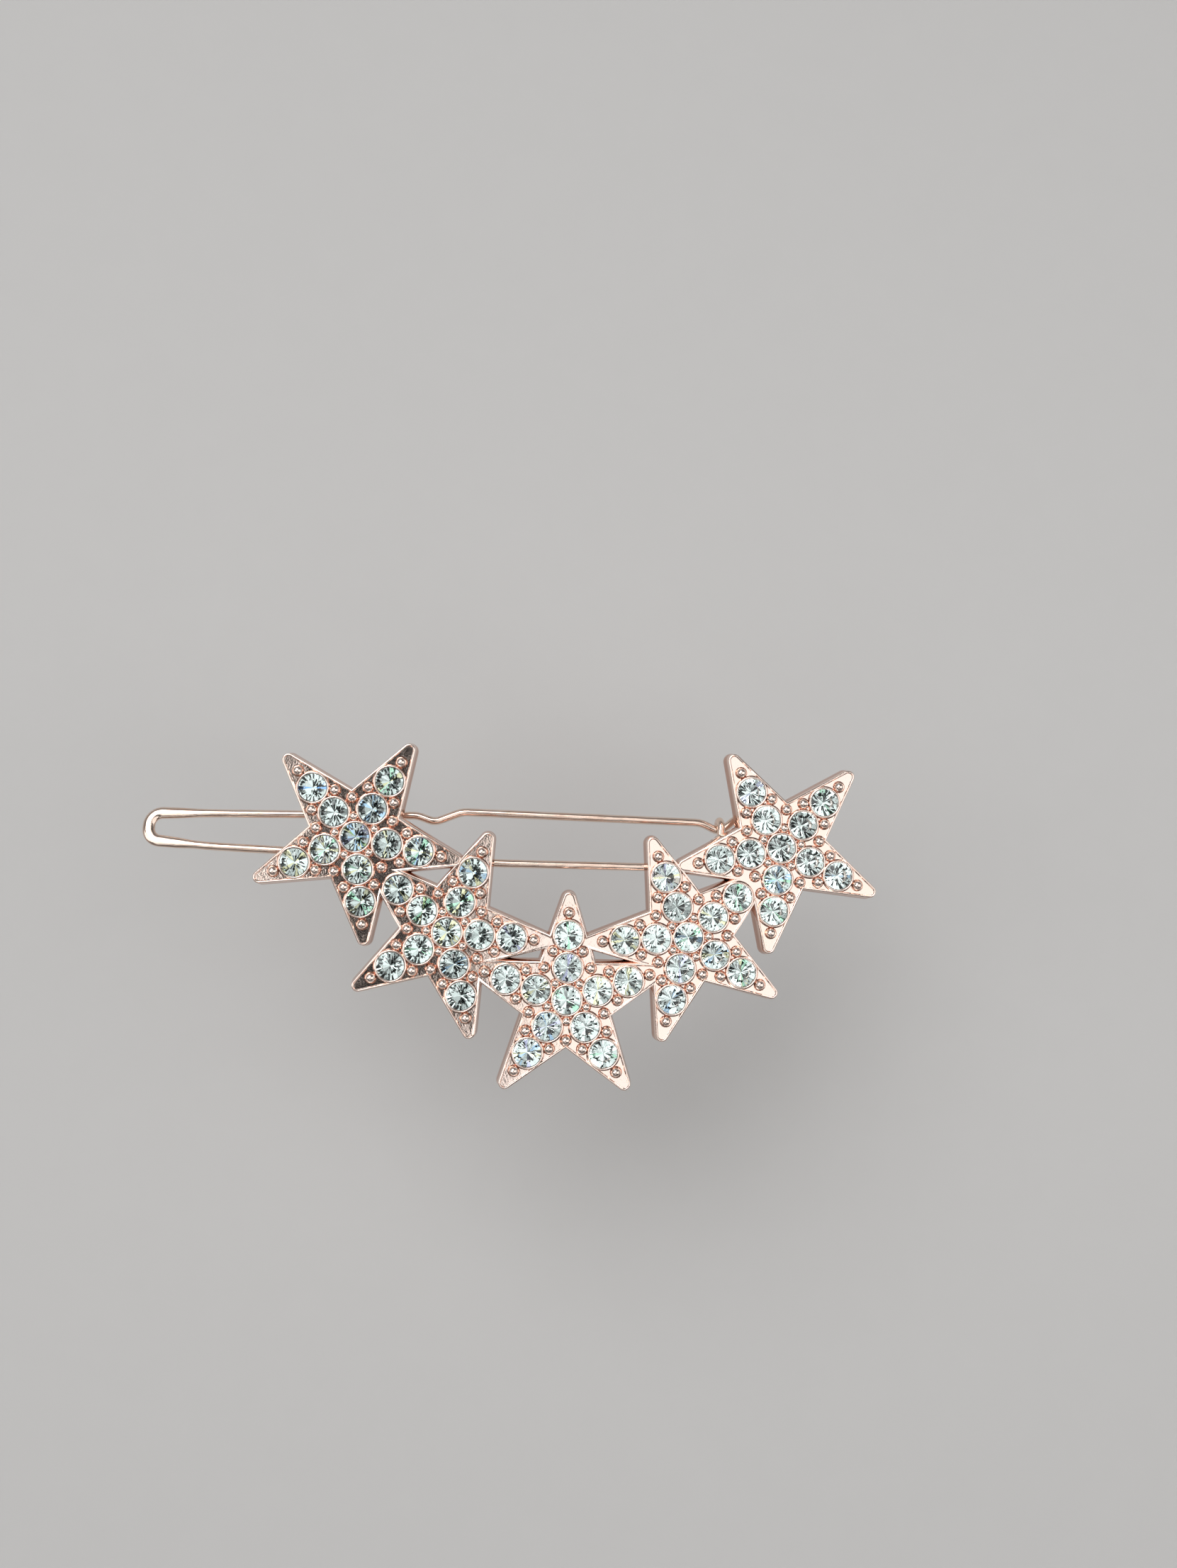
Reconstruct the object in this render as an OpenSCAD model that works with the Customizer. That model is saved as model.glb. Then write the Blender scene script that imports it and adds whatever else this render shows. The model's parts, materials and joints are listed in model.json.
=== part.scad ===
// Hair clip: a crescent of five cast stars set with round stones, soldered to a bent spring wire.
// The clip lies face up, +Z out of the face, +X towards the hook and +Y towards the free arm.

/* [Star] */
// Distance from a star's centre to the centre of an arm's round tip
arm_reach = 8.7; // [8.5:0.05:8.9]
// Radius of the round tip of an arm
tip_r = 0.55; // [0.45:0.05:0.65]
// Distance from a star's centre to the notch between two arms
notch_r = 4.05; // [3.95:0.05:4.25]
// Thickness of the cast plate, rim included
plate_t = 1.6; // [1.5:0.1:2]
// Width of the raised rim that follows the outline
rim_w = 0.25; // [0.15:0.05:0.3]
// Height of the rim above the field inside it
rim_h = 0.12; // [0.05:0.01:0.2]

/* [Crescent] */
// Sideways distance from the middle star to each inner neighbour
near_x = 10.4; // [10.3:0.05:10.5]
// Rise from the middle star to each inner neighbour
near_y = 5.575; // [5.5:0.025:5.65]
// Turn of each inner neighbour towards the middle star, in degrees
near_turn = 21.9; // [20:0.1:24]
// Sideways distance from the middle star to each end star
far_x = 18.43; // [18.35:0.01:18.5]
// Rise from the middle star to each end star
far_y = 13.5; // [13.4:0.05:13.6]
// Turn of each end star towards the middle star, in degrees
far_turn = 29.6; // [28:0.1:31]

/* [Stones] */
// Distance from a star's centre to its ring of inner stones
ring_r = 2.78; // [2.75:0.01:2.85]
// Radius of a stone at its girdle
stone_r = 1.18; // [1.1:0.01:1.2]
// Radius of the flat table on top of a stone
table_r = 0.62; // [0.5:0.01:0.8]
// Height of a stone's crown
crown_h = 0.42; // [0.3:0.01:0.5]
// Height of a stone's girdle band
girdle_h = 0.08; // [0.05:0.01:0.12]
// Depth of a stone's cone below the girdle
cone_h = 0.95; // [0.8:0.05:1]
// Clearance between a stone and its cup
cup_gap = 0.05; // [0.04:0.01:0.08]
// Width of the thin collar around a stone
collar_w = 0.18; // [0.12:0.01:0.22]
// Height of the collar above the rim
collar_h = 0.14; // [0.05:0.01:0.2]

/* [Beads] */
// Radius of the cast beads between the stones
bead_r = 0.45; // [0.35:0.01:0.5]
// Radius of the five small beads around a star's centre stone
small_bead_r = 0.38; // [0.3:0.01:0.4]
// Height of a bead's centre above the field
bead_lift = 0.06; // [0:0.01:0.15]

/* [Wire] */
// Diameter of the spring wire
wire_d = 0.7; // [0.6:0.05:0.8]
// Rise from the middle star's centre to the fixed arm
fixed_y = 11.53; // [11.4:0.01:11.6]
// Sideways distance from the middle star's centre to the hook
hook_x = 13.4; // [13.3:0.05:13.5]
// Angle between the plate and the plane that holds both arms
wire_tilt = 14; // [13.5:0.1:14.5]
// Radius of the bends at the closed end of the wire
end_bend_r = 1.1; // [1:0.05:1.2]
// Length of the straight stretch between those two bends
end_flat = 0.3; // [0.2:0.05:0.4]
// Radius of the corner where the fixed arm turns into the hook
corner_r = 1; // [0.8:0.1:1.2]
// Length of the hook's straight run between the corner and the curl
hook_run = 2.4; // [2.35:0.05:2.45]
// Radius of the hook's curl around the free arm
curl_r = 0.85; // [0.8:0.01:0.9]
// How far the curl goes on below the free arm, in degrees
curl_wrap = 45; // [40:1:46]

/* [Solder] */
// Radius of the ball that a drop of solder is the lower part of
solder_r = 1.15; // [1.1:0.05:1.2]
// Height of that ball's centre above the back of the plate
solder_rise = 0.25; // [0.2:0.05:0.3]

/* [Hidden] */
$fn = 48;
// Gap between the wire and the solder that closes round it
fit_gap = 0.01;
// Width of the ring over a joint between two moves of the wire, and how far it stands out
joint_w = 0.06;
joint_h = 0.003;
plating = [0.86, 0.64, 0.54];
wire_tint = [0.84, 0.66, 0.57];
glass_tint = [0.82, 0.90, 0.92];
solder_tint = [0.72, 0.70, 0.67];
glue_tint = [0.90, 0.88, 0.78];

arms = 5;
arm_step = 360 / arms;
wire_r = wire_d / 2;

// Heights, counted up from the lowest point, which is the end of the hook's curl
fixed_z = curl_r * (1 + sin(curl_wrap)) + wire_r;
back_z = fixed_z + wire_r;
rim_z = back_z + plate_t;
field_z = rim_z - rim_h;
girdle_z = rim_z - 0.02;
culet_z = girdle_z - cone_h;
culet_r = 0.15;
cup_r = stone_r + cup_gap;
cup_floor_z = culet_z - 0.18;
cup_floor_r = 0.45;
cup_wall_z = girdle_z - 0.13;
glue_r = 0.4;
glue_h = 0.12;

// Stars from left to right: centre and turn from upright
STARS = [
    [-far_x, far_y, -far_turn],
    [-near_x, near_y, -near_turn],
    [0, 0, 0],
    [near_x, near_y, near_turn],
    [far_x, far_y, far_turn],
];

// Edge of an arm, for an arm along +X: it runs from the notch and touches the tip circle
notch_at = notch_r * [cos(arm_step / 2), sin(arm_step / 2)];
to_tip = [arm_reach, 0] - notch_at;
edge_dir = atan2(to_tip.y, to_tip.x) + asin(tip_r / norm(to_tip));
edge_normal = 90 + edge_dir;
notch_half_angle = arm_step / 2 - edge_dir;

// Outline of one star, moved inwards by inset: a round tip and a notch for each arm
tip_steps = 8;
function turned(p, a) = [p.x * cos(a) - p.y * sin(a), p.x * sin(a) + p.y * cos(a)];
function round_tip(r) = [
    for (i = [-1 : 2 / tip_steps : 1])
        [arm_reach, 0] + r * [cos(i * edge_normal), sin(i * edge_normal)]
];
function star_points(inset) = [
    for (k = [0 : arms - 1])
        let (notch = notch_at * (1 - inset / sin(notch_half_angle) / notch_r))
        for (p = concat(round_tip(tip_r - inset), [notch])) turned(p, 90 + k * arm_step)
];

// Seats of a star's stones: distance from the centre and direction
SEATS = concat(
    [[0, 90]],
    [for (ring = [ring_r, 2 * ring_r - 0.02]) for (k = [0 : arms - 1]) [ring, 90 + k * arm_step]]
);
SEAT_NAMES = concat(
    ["centre"],
    [for (k = [1 : arms]) str("inner_", k)],
    [for (k = [1 : arms]) str("outer_", k)]
);

// Beads of one arm: distance from the star's centre, angle from the arm's axis and radius
tip_bead = [7.45, 0, bead_r];
ARM_BEADS = [
    [4.36, 17, bead_r],
    [4.36, -17, bead_r],
    [3.4, arm_step / 2, bead_r],
    [1.76, arm_step / 2, small_bead_r],
];
// The one arm of each inner neighbour that runs into an end star carries no bead on its tip
function tip_bead_fits(s, k) = !(s == 1 && k == 1) && !(s == 3 && k == 4);

// The two arms lie in one plane, where x runs along the clip and y from the fixed arm to the
// free arm. A pose is [x, y, heading]; a move is [length], or [radius, turn], left positive.
fixed_moves = [
    [17.4], [60, -2], [23.2], [40, -3], [3], [end_bend_r, -85], [end_flat / 2]
];
free_moves = [
    [end_flat / 2], [end_bend_r, -89], [21.5],
    [2, -20], [0.8], [1.3, 42], [1.5], [2.5, -24],
    [20.2], [2.5, -25], [0.75], [0.9, 66], [1.5]
];
corner_pose = [hook_x - corner_r, 0, 180];

function moved(p, m) = len(m) == 1
    ? [p.x + m[0] * cos(p.z), p.y + m[0] * sin(p.z), p.z]
    : let (side = sign(m[1]), heading = p.z + m[1])
      [
          p.x + side * m[0] * (sin(heading) - sin(p.z)),
          p.y - side * m[0] * (cos(heading) - cos(p.z)),
          heading
      ];
function walked(p, moves, i = 0) =
    i == len(moves) ? p : walked(moved(p, moves[i]), moves, i + 1);
end_pose = walked(corner_pose, fixed_moves);

// Solder drops: one below the hook's straight run and one below each star arm that the fixed
// arm crosses, given by the straight move it lies on and the distance along that move
function fixed_point(i, distance) =
    let (p = moved(walked(corner_pose, [for (j = [0 : 1 : i - 1]) fixed_moves[j]]), [distance]))
    [p.x, fixed_y + p.y * cos(wire_tilt)];
solder_points = [
    [hook_x, fixed_y + corner_r + hook_run / 2 - 0.3],
    fixed_point(0, 4.4),
    fixed_point(2, 0.95),
    fixed_point(2, 12)
];

// The whole clip is moved so that its origin is below the middle of its outline
arm_ends = [
    for (s = STARS) for (k = [0 : arms - 1])
        [s.x, s.y] + arm_reach * [cos(90 + s.z + k * arm_step), sin(90 + s.z + k * arm_step)]
];
left_x = end_pose.x - wire_r;
right_x = max([for (p = arm_ends) p.x]) + tip_r;
low_y = min([for (p = arm_ends) p.y]) - tip_r;
high_y = max([for (p = arm_ends) p.y]) + tip_r;
origin_shift = -[(left_x + right_x) / 2, (low_y + high_y) / 2, 0];

function stone_name(s, n) = str("stone_", s + 1, "_", SEAT_NAMES[n]);

// ---- Placing ----

module at_star(s) {
    translate([STARS[s].x, STARS[s].y, 0]) rotate([0, 0, STARS[s].z]) children();
}

module at_polar(distance, direction) {
    translate([distance * cos(direction), distance * sin(direction), 0]) children();
}

module at_every_seat() {
    for (s = [0 : len(STARS) - 1])
        at_star(s)
            for (seat = SEATS) at_polar(seat[0], seat[1]) children();
}

// From the plane of the arms to the clip: the plane hangs down from the fixed arm
module wire_plane() {
    translate([0, fixed_y, fixed_z]) rotate([-wire_tilt, 0, 0]) children();
}

// ---- Star plate ----

module stars(inset, height) {
    for (s = [0 : len(STARS) - 1])
        at_star(s) linear_extrude(height) polygon(star_points(inset));
}

module bead(b, arm) {
    at_polar(b[0], 90 + arm * arm_step + b[1])
        translate([0, 0, field_z + bead_lift]) sphere(r = b[2]);
}

module beads() {
    for (s = [0 : len(STARS) - 1], k = [0 : arms - 1])
        at_star(s) {
            for (b = ARM_BEADS) bead(b, k);
            if (tip_bead_fits(s, k)) bead(tip_bead, k);
        }
}

module collar() {
    translate([0, 0, back_z + plate_t / 2])
        cylinder(r = cup_r + collar_w, h = plate_t / 2 + collar_h);
}

module cup() {
    rotate_extrude() polygon([
        [0, cup_floor_z], [cup_floor_r, cup_floor_z], [cup_r, cup_wall_z],
        [cup_r, rim_z + 1], [0, rim_z + 1]
    ]);
}

module star_plate() {
    color(plating) translate(origin_shift)
        difference() {
            union() {
                difference() {
                    translate([0, 0, back_z]) stars(0, plate_t);
                    translate([0, 0, field_z]) stars(rim_w, 1);
                }
                at_every_seat() collar();
                beads();
            }
            at_every_seat() cup();
        }
}

// ---- Stones and the glue that holds them ----

module stone(s, n) {
    color(glass_tint) translate(origin_shift)
        at_star(s) at_polar(SEATS[n][0], SEATS[n][1])
            rotate_extrude() polygon([
                [0, culet_z], [culet_r, culet_z], [stone_r, girdle_z],
                [stone_r, girdle_z + girdle_h],
                [table_r, girdle_z + girdle_h + crown_h], [0, girdle_z + girdle_h + crown_h]
            ]);
}

module stone_glue() {
    color(glue_tint) translate(origin_shift)
        at_every_seat() translate([0, 0, cup_floor_z]) cylinder(r = glue_r, h = glue_h);
}

// ---- Spring wire ----

module rod(length, r) {
    rotate([0, 90, 0]) cylinder(r = r, h = length);
}

module bent_rod(radius, turn, r) {
    mirror([0, turn < 0 ? 1 : 0, 0])
        translate([0, radius, 0]) rotate([0, 0, -90])
            rotate_extrude(angle = abs(turn)) translate([radius, 0]) circle(r = r);
}

// A hair-thin ring over a joint between two moves, which keeps them one solid
module joint_ring(r) {
    translate([-joint_w / 2, 0, 0]) rod(joint_w, r + joint_h);
}

module wire_run(p, moves, r, i = 0) {
    if (i < len(moves)) {
        translate([p.x, p.y, 0]) rotate([0, 0, p.z]) {
            if (len(moves[i]) == 1) rod(moves[i][0], r);
            else bent_rod(moves[i][0], moves[i][1], r);
            if (i > 0) joint_ring(r);
        }
        wire_run(moved(p, moves[i]), moves, r, i + 1);
    }
}

// The hook leaves the fixed arm in a corner, runs flat below the plate and across the free arm,
// and curls down around it
module hook() {
    curl = [curl_r, 90 + curl_wrap];
    curl_end = moved([0, 0, 0], curl);
    translate([hook_x - corner_r, fixed_y, fixed_z]) {
        bent_rod(corner_r, 90, wire_r);
        joint_ring(wire_r);
    }
    translate([hook_x, fixed_y + corner_r, fixed_z]) rotate([0, 0, 90]) {
        rod(hook_run, wire_r);
        joint_ring(wire_r);
        translate([hook_run, 0, 0]) rotate([-90, 0, 0]) {
            bent_rod(curl[0], curl[1], wire_r);
            joint_ring(wire_r);
            translate([curl_end.x, curl_end.y, 0]) sphere(r = wire_r);
        }
    }
}

module fixed_arm() {
    color(wire_tint) translate(origin_shift) {
        wire_plane() wire_run(corner_pose, fixed_moves, wire_r);
        hook();
    }
}

module free_arm() {
    tip_pose = walked(end_pose, free_moves);
    color(wire_tint) translate(origin_shift)
        wire_plane() {
            wire_run(end_pose, free_moves, wire_r);
            translate([tip_pose.x, tip_pose.y, 0]) sphere(r = wire_r);
        }
}

// ---- Solder ----

// A drop is a low mound on the back of the plate that closes round the wire
module solder_drop(at) {
    translate([at.x, at.y, 0])
        intersection() {
            translate([0, 0, back_z + solder_rise]) sphere(r = solder_r);
            translate([0, 0, back_z - solder_r]) cylinder(r = 2 * solder_r, h = solder_r);
        }
}

module solder_joints() {
    color(solder_tint) translate(origin_shift)
        difference() {
            for (at = solder_points) solder_drop(at);
            wire_plane() wire_run(corner_pose, fixed_moves, wire_r + fit_gap);
            translate([hook_x, fixed_y, fixed_z]) rotate([0, 0, 90])
                rod(corner_r + hook_run, wire_r + fit_gap);
        }
}

// ---- Assembly ----

star_plate();
fixed_arm();
free_arm();
solder_joints();
stone_glue();
for (s = [0 : len(STARS) - 1], n = [0 : len(SEATS) - 1])
    stone(s, n);
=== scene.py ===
"""Builds the looks of a star hair clip: cast stars set with foiled stones on a bent spring wire."""

import json
import math
import random

import bmesh
import bpy
from bpy.props import FloatProperty, FloatVectorProperty, IntProperty, PointerProperty
from mathutils import Matrix, Vector, noise


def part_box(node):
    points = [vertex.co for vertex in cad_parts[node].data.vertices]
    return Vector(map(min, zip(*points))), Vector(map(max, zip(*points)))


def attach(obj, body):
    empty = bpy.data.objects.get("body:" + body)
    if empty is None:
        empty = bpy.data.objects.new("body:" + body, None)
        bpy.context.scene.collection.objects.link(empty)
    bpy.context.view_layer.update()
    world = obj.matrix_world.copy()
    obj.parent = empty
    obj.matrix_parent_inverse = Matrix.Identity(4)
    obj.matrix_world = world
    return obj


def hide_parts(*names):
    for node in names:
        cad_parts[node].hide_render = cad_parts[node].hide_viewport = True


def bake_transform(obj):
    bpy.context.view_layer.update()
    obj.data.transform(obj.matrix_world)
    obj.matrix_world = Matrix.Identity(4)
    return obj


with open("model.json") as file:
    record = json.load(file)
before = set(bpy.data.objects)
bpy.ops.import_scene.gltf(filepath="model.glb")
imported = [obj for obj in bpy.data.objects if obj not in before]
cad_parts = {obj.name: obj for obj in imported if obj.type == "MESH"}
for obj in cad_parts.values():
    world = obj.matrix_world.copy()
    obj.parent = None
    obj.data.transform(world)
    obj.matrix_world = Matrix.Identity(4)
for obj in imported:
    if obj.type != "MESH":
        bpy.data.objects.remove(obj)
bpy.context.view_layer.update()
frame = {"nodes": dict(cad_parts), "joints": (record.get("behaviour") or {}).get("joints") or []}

bl_info = {
    "name": "Star Hair Clip",
    "version": (1, 0, 0),
    "blender": (4, 5, 0),
    "location": "View3D > Sidebar > Hair Clip",
    "description": "Builds the finished pieces of a star hair clip round its packed parts",
    "category": "Add Mesh",
}

MM = 0.001
MERGE = 0.0001 * MM
SLIVER = 0.001 * MM
NEAR = 0.01 * MM
LEVEL = 0.999
ORNAMENT = "ornament"

STAR_COUNT = 5
ARM_COUNT = 5
ARM_STEP = math.tau / ARM_COUNT


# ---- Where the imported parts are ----

def middle(node):
    """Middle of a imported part's box, at height 0."""
    low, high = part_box(node)
    centre = (low + high) / 2
    return Vector((centre.x, centre.y, 0))


def star_place(number):
    """Matrix that takes a star drawn upright at the origin to its place on the clip."""
    centre = middle(f"stone_{number}_centre")
    arm = middle(f"stone_{number}_outer_1") - centre
    turn = math.atan2(arm.y, arm.x) - math.pi / 2
    return Matrix.Translation(centre) @ Matrix.Rotation(turn, 4, "Z")


STARS = [star_place(number) for number in range(1, STAR_COUNT + 1)]
STONES = sorted(n for n in frame["nodes"] if n.startswith("stone_") and n != "stone_glue")
MIDDLE_STAR = middle("stone_3_centre")
BACK_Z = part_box("star_plate")[0].z
STONE_LOW, STONE_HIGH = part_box(STONES[0])
STONE_RADIUS = (STONE_HIGH.x - STONE_LOW.x) / 2


# ---- Sizes and colours that a user may change ----

def length(name, description, default):
    """A length in metres."""
    return FloatProperty(name=name, description=description, default=default,
                         unit="LENGTH", subtype="DISTANCE", precision=6)


def angle(name, description, degrees):
    """An angle, given in degrees."""
    return FloatProperty(name=name, description=description, default=math.radians(degrees),
                         unit="ROTATION", subtype="ANGLE")


def colour(name, description, default):
    """A colour without alpha."""
    return FloatVectorProperty(name=name, description=description, default=default,
                               subtype="COLOR", size=3, min=0, max=1)


class StarSizes(bpy.types.PropertyGroup):
    """Sizes of one cast star"""

    arm_reach: length("Arm reach", "From the star's centre to the middle of an arm's tip", 8.7 * MM)
    tip_radius: length("Tip radius", "Radius of an arm's round tip", 0.55 * MM)
    notch_radius: length("Notch radius", "From the star's centre to a notch", 4.05 * MM)
    thickness: length("Thickness", "Thickness of the cast plate", 1.6 * MM)
    draft: length("Draft", "How far the walls spread towards the back", 0.16 * MM)
    field_depth: length("Field depth", "Depth of the field below the rim", 0.12 * MM)
    tip_steps: IntProperty(name="Tip steps", description="Steps round an arm's tip", default=10)


class SettingSizes(bpy.types.PropertyGroup):
    """Sizes of the collars and beads round the stones"""

    cup_gap: length("Cup gap", "Clearance between a stone and its cup", 0.05 * MM)
    collar_width: length("Collar width", "Width of the collar's top", 0.15 * MM)
    collar_height: length("Collar height", "Height of the collar above the rim", 0.13 * MM)
    foot_width: length("Foot width", "How far a collar's foot spreads", 0.09 * MM)
    bead_radius: length("Bead radius", "Radius of the beads", 0.45 * MM)
    small_bead_radius: length("Small bead radius", "Radius of the beads by the centre stone", 0.38 * MM)
    bead_lift: length("Bead lift", "Height of a bead's centre above the field", 0.06 * MM)


class StoneSizes(bpy.types.PropertyGroup):
    """Cut of the stones"""

    table_radius: length("Table radius", "Radius of the flat table", 0.60 * MM)
    cone_height: length("Cone height", "Depth of the cone below the girdle", 1.02 * MM)
    girdle_height: length("Girdle height", "Height of the girdle band", 0.08 * MM)
    lean: angle("Lean", "Most that a stone leans in its cup", 2.0)
    seed: IntProperty(name="Seed", description="Chooses how each stone is turned", default=11)


class WireSizes(bpy.types.PropertyGroup):
    """Sizes of the bent spring wire"""

    radius: length("Wire radius", "Radius of the wire", 0.35 * MM)
    fixed_rise: length("Fixed arm", "Rise from the middle star's centre to the fixed arm", 11.53 * MM)
    hook_x: length("Hook", "Sideways distance from the middle star's centre to the hook", 13.4 * MM)
    corner_radius: length("Corner radius", "Radius of the corner into the hook", 1.0 * MM)
    tilt: angle("Tilt", "Angle between the plate and the plane of the arms", 14.0)
    end_width: FloatProperty(name="End width", description="How wide the closed end is pressed",
                             default=1.5, min=1, max=1.8)
    sides: IntProperty(name="Sides", description="Sides of the wire's section", default=20, min=8)
    solder_radius: length("Solder radius", "Radius of a drop of solder", 1.1 * MM)


class ClipColours(bpy.types.PropertyGroup):
    """Colours of the finishes"""

    plating: colour("Plating", "Pale rose gold of the raised faces", (0.95, 0.78, 0.70))
    # The copper tone is also the painted shade on the casting's walls and round the feet of collars and
    # beads
    copper: colour("Copper", "Copper tone of the walls and hollows", (0.58, 0.33, 0.25))
    wire: colour("Wire", "Plating of the wire", (0.90, 0.72, 0.61))
    crystal: colour("Crystal", "Tint of the glass", (0.97, 1.0, 0.99))
    foil: colour("Foil", "Mirror foil behind the stones", (0.93, 0.98, 0.97))
    solder: colour("Solder", "Solder between wire and plate", (0.62, 0.58, 0.53))
    glue: colour("Glue", "Cured glue under the stones", (0.86, 0.80, 0.62))
    floor: colour("Floor", "Pale floor", (0.60, 0.59, 0.58))


class StageSettings(bpy.types.PropertyGroup):
    """Camera, floor and lights"""

    eye_x: length("Eye X", "Sideways place of the camera", -0.825 * MM)
    eye_y: length("Eye Y", "Place of the camera along the clip's height", 5.807 * MM)
    eye_z: length("Eye Z", "Height of the camera", 105.553 * MM)
    eye_turn: angle("Turn", "Turn of the camera about its line of sight", -1.73)
    eye_pitch: angle("Pitch", "Pitch of the camera", -3.13)
    eye_yaw: angle("Yaw", "Yaw of the camera", 4.08)
    lens: FloatProperty(name="Lens", description="Focal length in millimetres", default=27.11)
    key_glow: FloatProperty(name="Key light", description="Brightness of the large soft light",
                            default=1.2)
    fill_glow: FloatProperty(name="Fill lights", description="Brightness of the other soft lights",
                             default=1.6)
    room: FloatProperty(name="Room light", description="Strength of the light of the whole room",
                        default=1.0)
    dome: FloatProperty(name="Dome", description="Brightness of the studio round the clip", default=0.6)


# ---- Shader maths ----

def socket_of(sockets, key):
    """The socket with that identifier or name."""
    return next(s for s in sockets if key in (s.identifier, s.name))


class Value:
    """An output socket that can be used in sums."""

    def __init__(self, shader, socket):
        self.shader = shader
        self.socket = socket

    def maths(self, operation, other):
        """Value with other added to it, or multiplied by other."""
        settings = {"operation": operation}
        return self.shader.node("ShaderNodeMath", settings, {"Value": self, "Value_001": other})

    def __add__(self, other):
        return self.maths("ADD", other)

    def __mul__(self, other):
        return self.maths("MULTIPLY", other)

    __radd__ = __add__
    __rmul__ = __mul__

    def step(self, low, high):
        """0 below low, 1 above high and smooth between them."""
        return self.shader.node("ShaderNodeMapRange", {"interpolation_type": "SMOOTHSTEP"},
                                {"Value": self, "From Min": low, "From Max": high})


class Finish:
    """A material, or the world, whose nodes are being put together."""

    def __init__(self, name, kind="materials", place="Object"):
        self.owner = getattr(bpy.data, kind).new(name)
        self.owner.use_nodes = True
        self.tree = self.owner.node_tree
        self.tree.nodes.clear()
        self.place = self.node("ShaderNodeTexCoord", {}, {}, place)

    def node(self, kind, settings, sockets, output=0):
        """Adds a node, sets it up and fills its sockets with values or links."""
        made = self.tree.nodes.new(kind)
        for key, value in settings.items():
            if key == "stops":
                self.set_stops(made.color_ramp, value)
            else:
                setattr(made, key, value)
        for key, value in sockets.items():
            socket = socket_of(made.inputs, key)
            if isinstance(value, Value):
                self.tree.links.new(value.socket, socket)
            else:
                socket.default_value = value
        if not made.outputs:
            return None
        out = made.outputs[output] if isinstance(output, int) else socket_of(made.outputs, output)
        return Value(self, out)

    def set_stops(self, ramp, stops):
        """Gives a ramp its stops, each a position and a grey."""
        while len(ramp.elements) < len(stops):
            ramp.elements.new(1)
        for element, (position, grey) in zip(ramp.elements, stops):
            element.position = position
            element.color = (grey, grey, grey, 1)

    def mottle(self, size, detail=2.0, stretch=(1, 1, 1)):
        """Cloudy noise whose patches are about size across."""
        spread = self.node("ShaderNodeVectorMath", {"operation": "MULTIPLY"},
                           {"Vector": self.place, "Vector_001": stretch})
        sockets = {"Vector": spread, "Scale": 1 / size, "Detail": detail}
        return self.node("ShaderNodeTexNoise", {}, sockets)

    def height(self):
        """Height of a point above the surface the clip lies on."""
        return self.node("ShaderNodeSeparateXYZ", {}, {"Vector": self.place}, "Z")

    def blend(self, factor, first, second):
        """Mix of two colours."""
        shades = {"Factor_Float": factor, "A_Color": shade(first), "B_Color": shade(second)}
        return self.node("ShaderNodeMix", {"data_type": "RGBA"}, shades, "Result_Color")

    def bump(self, height, distance):
        """Normals of a surface raised by height times distance."""
        return self.node("ShaderNodeBump", {}, {"Height": height, "Distance": distance})

    def surface(self, **sockets):
        """Ends the material in a Principled shader. A socket's name is written with underscores."""
        named = {key.replace("_", " "): value for key, value in sockets.items()}
        shader = self.node("ShaderNodeBsdfPrincipled", {}, named)
        self.node("ShaderNodeOutputMaterial", {}, {"Surface": shader})
        return self.owner


def shade(value):
    """A colour with full alpha, or a link as it is."""
    return value if isinstance(value, Value) else (*value, 1)


# ---- Finishes ----

# Second tones, which are mottled into the colours of the clip
WARM_GOLD = (0.97, 0.78, 0.64)
WORN_GOLD = (0.95, 0.72, 0.60)
BROWNED_WIRE = (0.80, 0.56, 0.44)
SEA_GLASS = (0.93, 0.985, 0.975)
DARK_SOLDER = (0.42, 0.38, 0.34)
AGED_GLUE = (0.70, 0.60, 0.40)
PAPER_FIBRE = (0.55, 0.54, 0.53)
GLASS_IOR = 1.56
GLUE_IOR = 1.48
# Painted shade: how far below the rim the walls start darkening to copper, and where it is full
COPPER_SHADE_TOP = 0.15 * MM
COPPER_SHADE_LOW = 0.9 * MM


def cast_plating(colours, rim_z):
    """Rose gold over a grainy casting: pale raised faces, copper painted shade down the walls."""
    finish = Finish("cast_rose_gold")
    grain = finish.mottle(0.16 * MM, 2)
    pits = finish.mottle(0.07 * MM, 1)
    clouds = finish.mottle(2.6 * MM, 2)
    # Painted shade: depth grows down the walls and darkens the colour towards copper
    depth = finish.height().step(rim_z - COPPER_SHADE_TOP, rim_z - COPPER_SHADE_LOW)
    warm = finish.blend(clouds.step(0.35, 0.7) * 0.35, colours.plating, WARM_GOLD)
    metal = finish.blend(depth * 0.85, warm, colours.copper)
    patches = finish.mottle(1.1 * MM, 2).step(0.35, 0.65)
    relief = (grain * 0.8 + pits * 0.2) * (patches * 0.75 + 0.25)
    return finish.surface(
        Base_Color=finish.blend(pits.step(0.62, 0.8) * 0.5, metal, colours.copper),
        Metallic=1.0, Roughness=grain * 0.10 + 0.08,
        Normal=finish.bump(relief, 0.013 * MM))


def polished_plating(colours, name, low_z, high_z):
    """Rose gold, pale on top and darkened to copper round the foot by painted shade."""
    finish = Finish(name)
    grain = finish.mottle(0.2 * MM, 2)
    # Painted shade: foot is 0 above high_z and 1 below low_z, and darkens the colour to copper
    foot = finish.height().step(high_z, low_z)
    metal = finish.blend(foot, colours.plating, colours.copper)
    return finish.surface(
        Base_Color=finish.blend(grain.step(0.45, 0.75) * 0.3, metal, WORN_GOLD),
        Metallic=1.0, Roughness=grain * 0.12 + 0.05,
        Normal=finish.bump(grain, 0.006 * MM))


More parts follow.
